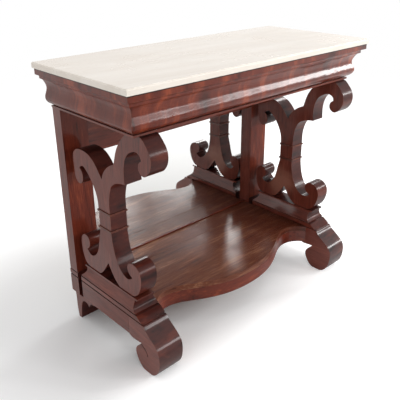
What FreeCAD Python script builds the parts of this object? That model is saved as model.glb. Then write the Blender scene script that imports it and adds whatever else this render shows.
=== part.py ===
"""Mahogany pier table with a marble top, scroll supports, a serpentine shelf and a mirror back.

Frame: X to the table's right, Y to the wall, Z up, in millimetres.
The origin is on the floor, below the middle of the whole table.
"""
import FreeCAD, Part
import os
import re
from FreeCAD import Placement, Rotation, Vector

doc = FreeCAD.newDocument("pier_table")

SIZES = [
    ("table_width", 1067, "marble, left to right"),
    ("table_depth", 470, "marble, front to back"),
    ("table_height", 914, "floor to the marble's top"),
    ("marble_thickness", 18, "marble slab"),
    ("marble_bevel", 3, "bevel round the marble's upper edge"),
    ("marble_overhang", 5, "marble past the cornice"),
    ("apron_height", 126, "cornice and bottom bead together"),
    ("cornice_depth", 54.5, "cornice moulding, face to back"),
    ("fillet_height", 19, "flat fillet under the marble"),
    ("step_depth", 13, "fillet to the narrow neck fillet"),
    ("step_drop", 4.5, "height of that step"),
    ("neck_height", 9.5, "narrow neck fillet"),
    ("cove_depth", 33, "deepest point of the cove behind the fillet"),
    ("cove_level", 63, "deepest point of the cove above the apron's foot"),
    ("bulge_depth", 25, "crest of the ogee behind the fillet"),
    ("bulge_level", 31, "crest of the ogee above the apron's foot"),
    ("quirk_wall", 4.5, "cornice behind the quirk under the ogee"),
    ("quirk_height", 3, "quirk between ogee and bottom bead"),
    ("bead_height", 6, "flat bead strip under the ogee"),
    ("bead_ledge", 12.5, "bead strip in front of the core rails"),
    ("core_thickness", 24, "softwood core rail"),
    ("bearer_width", 60, "cross bearer under the marble"),
    ("bearer_thickness", 20, "cross bearer"),
    ("bearer_spacing", 300, "between the middles of the bearers"),
    ("block_section", 30, "glue block"),
    ("block_length", 50, "glue block"),
    ("back_overhang", 5, "marble past the pilasters' backs"),
    ("pilaster_width", 92, "pilaster, left to right"),
    ("pilaster_depth", 44, "pilaster, front to back"),
    ("pilaster_base_step", 4, "pilaster base behind the pilaster"),
    ("rebate_width", 10, "rebate for the mirror"),
    ("mirror_recess", 28, "pilaster's front to the mirror's face"),
    ("mirror_thickness", 4, "mirror glass"),
    ("mirror_clearance", 2, "mirror's edge in its rebate"),
    ("mirror_lap", 12, "mirror behind the upper panel"),
    ("mirror_bead", 5, "bead at the mirror's foot"),
    ("wedge_length", 40, "wedge behind the mirror"),
    ("panel_thickness", 20, "upper back panel"),
    ("panel_height", 293, "upper back panel"),
    ("backboard_thickness", 5, "boards behind the mirror"),
    ("backboard_lap", 22, "backboard over the pilaster"),
    ("backboard_rise", 28, "backboards above the panel's lower edge"),
    ("nail_radius", 1.5, "cut nail"),
    ("nail_length", 20, "cut nail"),
    ("nail_inset", 6, "nail from the backboard's edge"),
    ("support_setback", 5, "scroll support inside the core rails' outer face"),
    ("support_thickness", 61, "scroll support, left to right"),
    ("stem_width", 61, "stem of the support, front to back"),
    ("stem_offset", 18, "stem behind the base's middle"),
    ("rear_arm_gap", 22, "rear volute's edge to the pilaster"),
    ("front_curl_overhang", 21, "lower front curl past the plinth's lip"),
    ("rear_curl_overhang", 15, "lower rear curl past the plinth's lip"),
    ("lower_scroll_height", 182, "lower scroll"),
    ("waist_height", 52, "waist block between the collars"),
    ("collar_thickness", 6, "collar"),
    ("collar_projection", 3, "collar past the stem"),
    ("stem_dowel_radius", 9, "dowel through the waist"),
    ("stem_dowel_grip", 45, "that dowel in each scroll"),
    ("dowel_radius", 6, "dowel"),
    ("dowel_grip", 22, "dowel in each piece"),
    ("dowel_clearance", 0.2, "dowel or screw in its hole"),
    ("base_projection", 10, "base and pilasters outside the core rails"),
    ("base_thickness", 94, "band, runner and feet, left to right"),
    ("base_front_setback", 52, "front foot's crown behind the marble's front"),
    ("toe_overhang", 18, "front foot past the marble's front"),
    ("foot_height", 100, "floor to the runner"),
    ("foot_joint", 80, "front foot's crown to its glue joint"),
    ("runner_height", 67, "runner"),
    ("band_height", 24, "reeded band"),
    ("band_setback", 5, "band's front edge behind the front foot's crown"),
    ("band_slope", 38, "run of the band's sloping front end"),
    ("groove_height", 4, "groove at each edge of the band"),
    ("groove_depth", 3, "groove in the band"),
    ("plinth_height", 46, "plinth block"),
    ("plinth_margin", 3, "plinth's top past the scroll's faces"),
    ("plinth_lip", 6, "lip round the plinth's top"),
    ("plinth_neck", 13, "neck of the plinth behind its lip"),
    ("plinth_front_inset", 43, "plinth's front lip behind the front foot's crown"),
    ("plinth_rear_inset", 16, "plinth's rear lip in front of the band's rear end"),
    ("rear_gap", 23, "slot between base and pilaster"),
    ("rear_foot_reach", 91, "rear foot in front of the pilaster"),
    ("rear_foot_heel", 26, "rear foot under the pilaster"),
    ("shelf_drop", 22, "shelf's top below the band's top"),
    ("shelf_thickness", 20, "shelf boards"),
    ("shelf_setback", 57, "shelf's bow behind the marble's front"),
    ("shelf_bow", 95, "bow's crest to the recess"),
    ("shelf_horn", 47, "recess to the shelf's front corners"),
    ("shelf_recess_run", 80, "recess from the base's inner face"),
    ("shelf_back_width", 110, "rear shelf board"),
    ("shelf_rail_height", 48, "serpentine rail under the shelf"),
    ("shelf_rail_thickness", 30, "serpentine rail, front to back"),
    ("rear_rail_thickness", 24, "rear rail under the shelf"),
    ("rear_rail_setback", 4, "rear rail in from the pilasters' backs"),
    ("cleat_section", 24, "shelf cleat"),
    ("cleat_setback", 31, "shelf cleat behind the shelf's recess"),
    ("screw_rise", 8, "cleat screw above the cleat's foot"),
    ("screw_radius", 2.5, "cleat screw"),
    ("screw_head_radius", 5, "cleat screw's head"),
    ("screw_head_height", 3, "cleat screw's head"),
    ("screw_grip", 20, "cleat screw in the runner"),
]

sheet = doc.addObject("Spreadsheet::Sheet", "Sizes")
for row, (alias, value, note) in enumerate(SIZES, 1):
    sheet.set(f"A{row}", note)
    sheet.set(f"B{row}", str(value))
    sheet.setAlias(f"B{row}", alias)
doc.recompute()

# Places are worked out from the sizes, each from those above it.
PLACES = [
    ("marble_foot", "table_height - marble_thickness"),
    ("apron_foot", "marble_foot - apron_height"),
    ("bead_top", "apron_foot + bead_height"),
    ("marble_back", "(table_depth + toe_overhang) / 2"),
    ("marble_front", "marble_back - table_depth"),
    ("fillet_x", "table_width / 2 - marble_overhang"),
    ("fillet_y", "marble_front + marble_overhang"),
    ("core_outer", "fillet_x - cornice_depth"),
    ("core_inner", "core_outer - core_thickness"),
    ("base_outer", "core_outer + base_projection"),
    ("base_inner", "base_outer - base_thickness"),
    ("core_front", "fillet_y + cornice_depth"),
    ("core_back", "core_front + core_thickness"),
    ("back_plane", "marble_back - back_overhang"),
    ("pilaster_inner", "base_outer - pilaster_width"),
    ("pilaster_front", "back_plane - pilaster_depth"),
    ("mirror_face", "pilaster_front + mirror_recess"),
    ("panel_foot", "marble_foot - panel_height"),
    ("support_outer", "core_outer - support_setback"),
    ("support_inner", "support_outer - support_thickness"),
    ("support_middle", "(support_outer + support_inner) / 2"),
    ("base_middle", "(base_outer + base_inner) / 2"),
    ("seat_y", "(core_front + core_back) / 2"),
    ("base_front", "marble_front + base_front_setback"),
    ("toe_reach", "base_front_setback + toe_overhang"),
    ("band_front", "base_front + band_setback"),
    ("plinth_foot_front", "band_front + band_slope"),
    ("base_back", "pilaster_front - rear_gap"),
    ("stem_middle", "(base_front + base_back) / 2 + stem_offset"),
    ("stem_front", "stem_middle - stem_width / 2"),
    ("stem_back", "stem_middle + stem_width / 2"),
    ("front_arm_reach", "stem_front - seat_y"),
    ("rear_arm_reach", "pilaster_front - rear_arm_gap - stem_back"),
    ("plinth_front", "base_front + plinth_front_inset"),
    ("plinth_back", "base_back - plinth_rear_inset"),
    ("plinth_outer", "support_outer + plinth_margin"),
    ("plinth_inner", "support_inner - plinth_margin"),
    ("front_curl_reach", "stem_front - plinth_front + front_curl_overhang"),
    ("rear_curl_reach", "plinth_back + rear_curl_overhang - stem_back"),
    ("runner_top", "foot_height + runner_height"),
    ("band_top", "runner_top + band_height"),
    ("plinth_top", "band_top + plinth_height"),
    ("lower_collar_foot", "plinth_top + lower_scroll_height"),
    ("waist_foot", "lower_collar_foot + collar_thickness"),
    ("waist_top", "waist_foot + waist_height"),
    ("upper_scroll_foot", "waist_top + collar_thickness"),
    ("upper_scroll_height", "apron_foot - upper_scroll_foot"),
    ("foot_back", "base_front + foot_joint"),
    ("shelf_top", "band_top - shelf_drop"),
    ("shelf_foot", "shelf_top - shelf_thickness"),
    ("shelf_rail_foot", "shelf_foot - shelf_rail_height"),
    ("shelf_crest", "marble_front + shelf_setback"),
    ("shelf_seam", "back_plane - shelf_back_width"),
    ("rear_rail_back", "back_plane - rear_rail_setback"),
    ("rear_rail_front", "rear_rail_back - rear_rail_thickness"),
    ("cleat_inner", "base_inner - cleat_section"),
    ("cleat_foot", "shelf_foot - cleat_section"),
    ("cleat_front", "shelf_crest + shelf_bow + cleat_setback"),
    ("backboard_top", "panel_foot + backboard_rise"),
    ("backboard_width", "(backboard_top - band_top) / 3"),
]
SIZE_NAMES = {alias for alias, value, note in SIZES}
WORD = re.compile(r"[a-z][a-z_]+")


def linked(text):
    """An expression that reads each named size or place from the document."""
    return WORD.sub(lambda found: f"{'Sizes' if found[0] in SIZE_NAMES else 'Places'}.{found[0]}", text)


places = doc.addObject("App::VarSet", "Places")
for name, text in PLACES:
    places.addProperty("App::PropertyFloat", name, "Places")
    places.setExpression(name, linked(text))
doc.recompute()


def at(name):
    """The number that a size or place stands at."""
    return float(sheet.get(name)) if name in SIZE_NAMES else getattr(places, name)


SIDES = (("left", -1), ("right", 1))


def across(sign, near, far):
    """X range between two distances from the middle, on one side of the table."""
    return (near, far) if sign > 0 else (f"-({far})", f"-({near})")


def board(label, x, y, z):
    """Straight board between a low and a high expression on each axis."""
    box = doc.addObject("Part::Box", label)
    for side, axis, (low, high) in (("Length", "x", x), ("Width", "y", y), ("Height", "z", z)):
        box.setExpression(side, linked(f"({high}) - ({low})"))
        box.setExpression(f"Placement.Base.{axis}", linked(low))
    return box


TURNS = {"x": Rotation(Vector(0, 1, 0), 90), "y": Rotation(Vector(1, 0, 0), -90), "z": Rotation()}


def peg(label, axis, start, length, radius, slack="0"):
    """Round peg along an axis, or its hole where there is slack."""
    rod = doc.addObject("Part::Cylinder", label)
    rod.Placement = Placement(Vector(), TURNS[axis])
    rod.setExpression("Radius", linked(f"{radius} + {slack}"))
    rod.setExpression("Height", linked(f"{length} + 2 * ({slack})"))
    for name, text in zip("xyz", start):
        shift = f" - ({slack})" if name == axis else ""
        rod.setExpression(f"Placement.Base.{name}", linked(f"({text}){shift}"))
    return rod


def group(label, pieces):
    """Separate solids that share one node."""
    bundle = doc.addObject("Part::Compound", label)
    bundle.Links = pieces
    return bundle


def joined(label, pieces):
    """One solid built up from overlapping or touching blocks."""
    union = doc.addObject("Part::MultiFuse", label)
    union.Shapes = pieces
    union.Refine = True
    return union


def bored(label, blank, cutters):
    """A piece with its holes and rebates cut."""
    piece = doc.addObject("Part::Cut", label)
    piece.Base = blank
    piece.Tool = cutters[0] if len(cutters) == 1 else group(f"{label}_cutters", cutters)
    return piece


def lines(points):
    """Straight edges through the points."""
    ends = [Vector(*point, 0) for point in points]
    return [Part.LineSegment(a, b) for a, b in zip(ends, ends[1:])]


def closed(points):
    return lines(points + points[:1])


def curve(points, start=None, end=None):
    """Smooth edge through the points, with a given direction at either end."""
    ends = [Vector(*point, 0) for point in points]
    flat = Vector(0, 0, 0)
    tangents = [flat] * len(ends)
    flags = [False] * len(ends)
    for index, direction in ((0, start), (-1, end)):
        if direction:
            tangents[index] = Vector(*direction, 0)
            flags[index] = True
    spline = Part.BSplineCurve()
    spline.interpolate(Points=ends, Tangents=tangents, TangentFlags=flags, Scale=False)
    return [spline]


def flat_sketch(body, plane, edges, label):
    """Sketch on one of a body's own planes."""
    sketch = body.newObject("Sketcher::SketchObject", label)
    support = [part for part in body.Origin.OriginFeatures if part.Role == plane]
    sketch.AttachmentSupport = [(support[0], "")]
    sketch.MapMode = "FlatFace"
    sketch.addGeometry(edges, False)
    return sketch


def sawn(label, plane, edges, thickness, axis, start):
    """Piece sawn to an outline: a padded sketch, set at a start along the pad's axis."""
    body = doc.addObject("PartDesign::Body", label)
    pad = body.newObject("PartDesign::Pad", f"{label}_pad")
    pad.Profile = flat_sketch(body, plane, edges, f"{label}_outline")
    pad.setExpression("Length", linked(thickness))
    body.setExpression(f"Placement.Base.{axis}", linked(start))
    doc.recompute()
    return body


def mitred(body, label, corner):
    """Cut a body through along Z, inside a closed outline."""
    cut = body.newObject("PartDesign::Pocket", f"{label}_mitre")
    cut.Profile = flat_sketch(body, "XY_Plane", corner, f"{label}_mitre_outline")
    cut.Type = "ThroughAll"
    cut.Midplane = True
    doc.recompute()


UP, DOWN, AFT = (0, 1), (0, -1), (1, 0)


def upper_scroll_outline():
    """Y and Z outline of the upper scroll: front volute, fork and rear volute on the stem.

    Points are percentages: outwards of an arm's reach from the stem, and down of the height.
    """
    top, height = at("apron_foot"), at("upper_scroll_height")
    foot = at("upper_scroll_foot")
    stem_front, stem_back = at("stem_front"), at("stem_back")

    def front(points):
        reach = at("front_arm_reach")
        return [(stem_front - u * reach / 100, top - d * height / 100) for u, d in points]

    def rear(points):
        reach = at("rear_arm_reach")
        return [(stem_back + u * reach / 100, top - d * height / 100) for u, d in points]

    arch = front([(0, 89.8), (4.6, 75.3), (15.2, 64.8), (32.3, 59.6), (62, 56.7)])
    inside = front([(62, 56.7), (60.6, 47), (64.2, 33.1), (74.1, 24), (90.4, 18.5), (106, 17),
                    (116.7, 19.8), (118.8, 24.4)])
    volute = front([(118.8, 24.4), (109.6, 28.9), (110.3, 34.4), (123.8, 38.7), (137.9, 34.8), (146.5, 28.5),
                    (149.3, 21.5), (145, 12.8), (133, 5.5), (115.2, 0)])
    back = front([(83.3, 0), (69.1, 4.5), (53.5, 12.5), (38.7, 23), (30.9, 33.4), (26.6, 40.1)])
    fork = (at("stem_middle"), top - 0.6264 * height)
    shoulder = front([(26.6, 40.1), (6.7, 44.9), (-10.3, 52.2)]) + [fork]
    hook = [fork] + rear([(-9.2, 54.4), (9.2, 46), (31.5, 41), (57, 39.7), (81.7, 41.7), (95.2, 47),
                          (100, 56.4), (97.6, 68.9), (92.8, 77.3), (79.3, 81.2), (64.1, 77.6), (60.2, 70.3),
                          (63.3, 65.5), (72.1, 62.3)])
    hollow = rear([(72.1, 62.3), (66.5, 59.6), (55.4, 58.1), (43.4, 61), (29.9, 66.5), (17.1, 73.8),
                   (6.8, 82.2), (0, 95.8)])
    edges = lines([(stem_front, foot), arch[0]]) + curve(arch, start=UP) + curve(inside)
    edges += curve(volute, end=AFT) + lines([volute[-1], back[0]]) + curve(back, start=AFT)
    edges += curve(shoulder) + curve(hook) + curve(hollow, end=DOWN)
    return edges + lines([hollow[-1], (stem_back, foot), (stem_front, foot)])


def lower_scroll_outline():
    """Y and Z outline of the lower scroll: two curls that stand on the plinth below the stem.

    Points are percentages: outwards of a curl's reach from the stem, and up of the height.
    """
    foot, height = at("plinth_top"), at("lower_scroll_height")
    top = at("lower_collar_foot")
    stem_front, stem_back = at("stem_front"), at("stem_back")

    def front(points):
        reach = at("front_curl_reach")
        return [(stem_front - u * reach / 100, foot + v * height / 100) for u, v in points]

    def rear(points):
        reach = at("rear_curl_reach")
        return [(stem_back + u * reach / 100, foot + v * height / 100) for u, v in points]

    front_hollow = front([(0, 98.4), (2.5, 79.1), (9, 59.3), (24.2, 39.6), (47.3, 29.1), (68.2, 36.8)])
    front_curl = front([(68.2, 36.8), (58.8, 41.2), (52.3, 51.1), (58.1, 61), (74, 64.3), (92.1, 58.2),
                        (100, 45.1), (95.7, 24.2), (83.4, 8.2), (59.6, 0)])
    apex = (at("stem_middle"), foot + 0.352 * height)
    front_notch = front([(27.1, 0), (6.9, 6.6), (-9, 19.8)]) + [apex]
    rear_notch = [apex] + rear([(-10.1, 20.9), (6.1, 7.7), (27.1, 0)])
    rear_curl = rear([(59.5, 0), (84.6, 6.6), (96, 22), (100, 45.1), (92.7, 58.8), (78.1, 64.8), (62.8, 61),
                      (57.9, 51.6), (62.8, 42.3), (72.5, 36.8)])
    rear_hollow = rear([(72.5, 36.8), (50.6, 28.6), (27.1, 39.6), (13.4, 59.3), (5.3, 81.9), (0, 98.4)])
    edges = lines([(stem_front, top), front_hollow[0]]) + curve(front_hollow, start=DOWN)
    edges += curve(front_curl, end=AFT) + lines([front_curl[-1], front_notch[0]])
    edges += curve(front_notch, start=AFT) + curve(rear_notch, end=AFT)
    edges += lines([rear_notch[-1], rear_curl[0]]) + curve(rear_curl, start=AFT)
    edges += curve(rear_hollow, end=UP)
    return edges + lines([rear_hollow[-1], (stem_back, top), (stem_front, top)])


def plinth_outline():
    """Y and Z outline of the plinth block: a lip on a hollow neck that flares to the band."""
    foot, top = at("band_top"), at("plinth_top")
    lip_foot = top - at("plinth_lip")
    rise = lip_foot - foot
    neck = at("plinth_neck")
    front_lip, rear_lip = at("plinth_front"), at("plinth_back")

    def hollow(outer, inner, points):
        return [(outer + p * (inner - outer) / 100, foot + q * rise / 100) for p, q in points]

    front_foot, rear_foot = at("plinth_foot_front"), at("base_back")
    front = hollow(front_foot, front_lip + neck, [(0, 0), (57, 16), (81, 25), (100, 50), (86, 100)])
    rear = hollow(rear_foot, rear_lip - neck, [(0, 0), (22, 13), (54, 33), (78, 50), (100, 75), (86, 100)])
    top_edge = [front[-1], (front_lip, lip_foot), (front_lip, top), (rear_lip, top), (rear_lip, lip_foot)]
    return curve(front) + lines(top_edge + [rear[-1]]) + curve(rear[::-1]) + lines([rear[0], front[0]])


def plinth_sides():
    """Foot and top of each sloping side of the plinth, as distances from the table's middle."""
    return (("outer", at("base_outer"), at("plinth_outer")), ("inner", at("base_inner"), at("plinth_inner")))


def plinth_slope(foot_x, top_x):
    """X and Z outline of the waste beside the plinth's sloping side and its lip."""
    foot, top = at("band_top"), at("plinth_top")
    lip_foot = top - at("plinth_lip")
    return [(foot_x, foot), (top_x, lip_foot), (top_x, top), (foot_x, top)]


def band_outline(margin, inset):
    """Y and Z outline of the band, less a margin at its foot and top, with its sloping front set in."""
    foot, height, slope = at("runner_top"), at("band_height"), at("band_slope")
    low, high, back = foot + margin, foot + height - margin, at("base_back")
    front = at("band_front") + inset
    low_front, high_front = front + slope * margin / height, front + slope * (height - margin) / height
    return closed([(low_front, low), (back, low), (back, high), (high_front, high)])


def foot_level(percent):
    """Height at a percentage of the foot, and past 100 of the runner above it."""
    if percent <= 100:
        return percent * at("foot_height") / 100
    return at("foot_height") + (percent - 100) * at("runner_height") / 100


def front_foot_outline():
    """Y and Z outline of the front foot: a scroll that turns back under the runner."""
    front, toe, joint = at("base_front"), at("toe_reach"), at("foot_joint")

    def out(points):
        return [(front - u * toe / 100, foot_level(v)) for u, v in points]

    instep = out([(-10, 200), (-2.5, 196), (3.5, 187.5), (30, 165), (64, 140), (86, 119), (96.6, 98),
                  (100, 76), (94.4, 45), (76, 18), (52, 3.5), (31.4, 0)])
    curl = out([(-7, 0), (-40.8, 13), (-61.9, 34.6), (-68.9, 54), (-59.1, 71.4), (-42.2, 83.2),
                (-25.3, 95.8)])
    arch = ((56, 93.5), (77.5, 92.8), (100, 100))
    under = [curl[-1]] + [(front + p * joint / 100, foot_level(v)) for p, v in arch]
    back = [under[-1], (under[-1][0], instep[0][1]), instep[0]]
    edges = curve(instep, end=AFT) + lines([instep[-1], curl[0]]) + curve(curl, start=AFT)
    return edges + curve(under) + lines(back)


def rear_foot_outline():
    """Y and Z outline of the rear foot: a bracket with a hooked hollow."""
    front, reach, heel = at("pilaster_front"), at("rear_foot_reach"), at("rear_foot_heel")

    def fore(points):
        return [(front - u * reach / 100, foot_level(v)) for u, v in points]

    toe = front + 0.1 * heel
    hook = fore([(100, 100), (95, 95.5), (85, 96), (74.5, 92), (67, 84), (61.5, 74)])
    hollow = fore([(61.5, 74), (54, 83), (38.5, 86.5), (20.5, 80.5), (9, 63), (4, 40), (0, 14)])
    hollow.append((toe, 0))
    rest = [(toe, 0), (front + 0.68 * heel, 0)]
    rise = ((0.82, 14), (0.93, 45), (1, 100))
    back = [rest[-1]] + [(front + share * heel, foot_level(v)) for share, v in rise]
    return curve(hook) + curve(hollow) + lines(rest) + curve(back) + lines([back[-1], hook[0]])


def shelf_front(shift=0):
    """Serpentine front edge of the shelf in plan, from left to right, moved back by a shift."""
    half, crest = at("base_inner"), at("shelf_crest") + shift
    bow, horn, run = at("shelf_bow"), at("shelf_horn"), at("shelf_recess_run")
    recess = half - run
    bowed = ((39, 18), (69, 62), (85.5, 90), (100, 100))
    horned = ((56, 26), (78, 56), (100, 100))
    right = [(p * recess / 100, crest + q * bow / 100) for p, q in bowed]
    right += [(recess + p * run / 100, crest + bow - q * horn / 100) for p, q in horned]
    left = [(-x, y) for x, y in reversed(right)]
    return left + [(0, crest)] + right


def cornice_profile():
    """Depth behind the fillet and height above the apron's foot, down the ogee's face."""
    top, seat = at("apron_height"), at("bead_height")
    fillet_foot = top - at("fillet_height")
    step_foot = fillet_foot - at("step_drop")
    neck_foot = step_foot - at("neck_height")
    step, cove, bulge = at("step_depth"), at("cove_depth"), at("bulge_depth")
    quirk, quirk_top = at("cornice_depth") - at("quirk_wall"), seat + at("quirk_height")
    face = [(0, top), (0, fillet_foot), (step, step_foot), (step, neck_foot)]
    cove_level, bulge_level = at("cove_level"), at("bulge_level")
    shoulder = (cove - 0.22 * (cove - step), (neck_foot + cove_level) / 2)
    hollow = [(step, neck_foot), shoulder, (cove, cove_level)]
    under = (bulge + 0.3 * (quirk - bulge), quirk_top + 0.35 * (bulge_level - quirk_top))
    belly = [hollow[-1], (bulge, bulge_level), under, (quirk, quirk_top)]
    return face, hollow, belly, (quirk, seat)


def cornice_outline(place):
    """Closed cornice section, where place turns a depth and a height into sketch coordinates."""
    face, hollow, belly, seat = cornice_profile()
    depth = at("cornice_depth")
    turn = Vector(*place(1, 0), 0) - Vector(*place(0, 0), 0)
    inward = (turn.x, turn.y)
    edges = lines([place(*point) for point in face])
    edges += curve([place(*point) for point in hollow], start=inward, end=DOWN)
    edges += curve([place(*point) for point in belly], start=DOWN, end=inward)
    back = [belly[-1], seat, (depth, seat[1]), (depth, face[0][1]), face[0]]
    return edges + lines([place(*point) for point in back])


# Marble top, bevelled round its upper edge
marble_slab = board("marble_slab", ("-table_width / 2", "table_width / 2"),
                    ("marble_front", "marble_back"), ("marble_foot", "table_height"))
doc.recompute()
bevel = at("marble_bevel")
marble = doc.addObject("Part::Chamfer", "marble_top")
marble.Base = marble_slab
marble.Edges = [(index, bevel, bevel) for index, edge in enumerate(marble_slab.Shape.Edges, 1)
                if edge.BoundBox.ZMin > at("table_height") - bevel]

# Dowels and their holes
SLACK = "dowel_clearance"


def dowels(sign):
    """Axis, start, length and radius of each dowel on one side of the table."""
    support = "support_middle" if sign > 0 else "-support_middle"
    base = "base_middle" if sign > 0 else "-base_middle"
    stem_length = "waist_height + 2 * collar_thickness + 2 * stem_dowel_grip"
    grip = "2 * dowel_grip"
    front_curl = "stem_front - front_curl_reach * 0.43"
    rear_curl = "stem_back + rear_curl_reach * 0.43"
    foot_z = "foot_height + runner_height / 2"
    heel_y = "pilaster_front + rear_foot_heel / 2"
    pilaster_y = "pilaster_front + mirror_recess / 2"
    return {
        "seat": ("z", (support, "seat_y", "apron_foot - dowel_grip"), f"bead_height + {grip}",
                 "dowel_radius"),
        "stem": ("z", (support, "stem_middle", "lower_collar_foot - stem_dowel_grip"), stem_length,
                 "stem_dowel_radius"),
        "front_curl": ("z", (support, front_curl, "plinth_top - dowel_grip"), grip, "dowel_radius"),
        "rear_curl": ("z", (support, rear_curl, "plinth_top - dowel_grip"), grip, "dowel_radius"),
        "foot": ("y", (base, "foot_back - dowel_grip", foot_z), grip, "dowel_radius"),
        "heel": ("z", (base, heel_y, "foot_height - dowel_grip"), grip, "dowel_radius"),
        "pilaster": ("z", (base, pilaster_y, "band_top - dowel_grip"), grip, "dowel_radius"),
    }


def holes(label, sign, *names):
    return [peg(f"{label}_{name}_hole", *dowels(sign)[name], slack=SLACK) for name in names]


# Top frame: core rails, ogee cornice and bottom bead, mitred at the front corners
core_rise = ("bead_top", "marble_foot")
front_core = board("front_core_blank", ("-core_outer", "core_outer"), ("core_front", "core_back"),
                   core_rise)
bored("front_core_rail", front_core, holes("left_core", -1, "seat") + holes("right_core", 1, "seat"))

fillet_x, fillet_y = at("fillet_x"), at("fillet_y")
depth, spare = at("cornice_depth"), at("cornice_depth") / 2
front_section = cornice_outline(lambda inset, rise: (fillet_y + inset, at("apron_foot") + rise))
front_cornice = sawn("front_cornice", "YZ_Plane", front_section, "2 * fillet_x", "x", "-fillet_x")
inner_end = fillet_y + depth + spare
near_corner = [(-spare, fillet_y - spare), (depth + spare, inner_end), (-spare, inner_end)]
far_corner = [(2 * fillet_x - x, y) for x, y in near_corner]
mitred(front_cornice, "front_cornice", closed(near_corner) + closed(far_corner))

bead_x, bead_y = at("core_outer") + at("bead_ledge"), at("core_front") - at("bead_ledge")
inner_x, inner_y = at("core_inner"), at("core_back")
front_bead_plan = closed([(-bead_x, bead_y), (bead_x, bead_y), (inner_x, inner_y), (-inner_x, inner_y)])
front_bead = sawn("front_bead_blank", "XY_Plane", front_bead_plan, "bead_height", "z", "apron_foot")
bored("front_bottom_bead", front_bead, holes("left_bead", -1, "seat") + holes("right_bead", 1, "seat"))

for side, sign in SIDES:
    label = f"{side}_cornice"
    section = cornice_outline(lambda inset, rise: (sign * (fillet_x - inset), at("apron_foot") + rise))
    cornice = sawn(label, "XZ_Plane", section, "back_plane - fillet_y", "y", "back_plane")
    front_end = fillet_y - at("back_plane")
    inner_edge = fillet_x - depth - spare
    corner = [(fillet_x + spare, front_end - spare), (inner_edge, front_end - spare),
              (inner_edge, front_end + depth + spare)]
    mitred(cornice, label, closed([(sign * x, y) for x, y in corner]))

    outer, pilaster_y, back_y = at("core_outer"), at("pilaster_front"), at("back_plane")
    plan = [(bead_x, bead_y), (bead_x, back_y), (outer, back_y), (outer, pilaster_y),
            (inner_x, pilaster_y), (inner_x, inner_y)]
    bead_plan = closed([(sign * x, y) for x, y in plan])
    sawn(f"{side}_bottom_bead", "XY_Plane", bead_plan, "bead_height", "z", "apron_foot")
    board(f"{side}_core_rail", across(sign, "core_inner", "core_outer"), ("core_back", "pilaster_front"),
          core_rise)

panel_y = ("mirror_face - panel_thickness", "mirror_face")
board("upper_back_panel", ("-pilaster_inner", "pilaster_inner"), panel_y, ("panel_foot", "marble_foot"))

bearers = []
frame_blocks = []
for side, sign in SIDES:
    near, far = "bearer_spacing / 2 - bearer_width / 2", "bearer_spacing / 2 + bearer_width / 2"
    bearers.append(board(f"{side}_bearer", across(sign, near, far), ("core_back", panel_y[0]),
                         ("marble_foot - bearer_thickness", "marble_foot")))
    block_x = across(sign, "bearer_spacing / 2 - block_length / 2", "bearer_spacing / 2 + block_length / 2")
    block_z = ("marble_foot - bearer_thickness - block_section", "marble_foot - bearer_thickness")
    front_y = ("core_back", "core_back + block_section")
    rear_y = (f"{panel_y[0]} - block_section", panel_y[0])
    frame_blocks.append(board(f"{side}_front_bearer_block", block_x, front_y, block_z))
    frame_blocks.append(board(f"{side}_rear_bearer_block", block_x, rear_y, block_z))
    corner_x = across(sign, "core_inner - block_section", "core_inner")
    frame_blocks.append(board(f"{side}_corner_block", corner_x, front_y, core_rise))
group("marble_bearers", bearers)
group("frame_glue_blocks", frame_blocks)

# Back: pilasters on their bases, mirror with its bead and wedges, nailed backboards
def nail(label, sign, level, slack="0"):
    """One nail through a backboard into the pilaster, driven in from behind."""
    inset = "pilaster_inner + backboard_lap - nail_inset"
    start = (inset if sign > 0 else f"-({inset})", "back_plane + backboard_thickness - nail_length", level)
    return peg(label, "y", start, "nail_length", "nail_radius", slack)


BACKBOARDS = ("lower", "middle", "upper")
NAIL_LEVELS = {}
for index, name in enumerate(BACKBOARDS):
    foot = f"band_top + {index} * backboard_width"
    NAIL_LEVELS[name] = (f"{foot} + 3 * nail_inset", f"{foot} + backboard_width - 3 * nail_inset")

nails = []
for name, levels in NAIL_LEVELS.items():
    index = BACKBOARDS.index(name)
    label = f"{name}_backboard"
    blank = board(f"{label}_blank", ("-pilaster_inner - backboard_lap", "pilaster_inner + backboard_lap"),
                  ("back_plane", "back_plane + backboard_thickness"),
                  (f"band_top + {index} * backboard_width", f"band_top + {index + 1} * backboard_width"))
    cutters = []
    for side, sign in SIDES:
        for step, level in zip(("foot", "head"), levels):
            nails.append(nail(f"{label}_{side}_{step}_nail", sign, level))
            cutters.append(nail(f"{label}_{side}_{step}_hole", sign, level, SLACK))
    bored(label, blank, cutters)
group("backboard_nails", nails)

glass_edge = "pilaster_inner + rebate_width - mirror_clearance"
board("mirror_glass", (f"-({glass_edge})", glass_edge), ("mirror_face", "mirror_face + mirror_thickness"),
      ("shelf_top", "panel_foot + mirror_lap"))
board("mirror_bottom_bead", ("-pilaster_inner", "pilaster_inner"),
      ("mirror_face - mirror_bead", "mirror_face"), ("shelf_top", "shelf_top + mirror_bead"))

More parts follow.
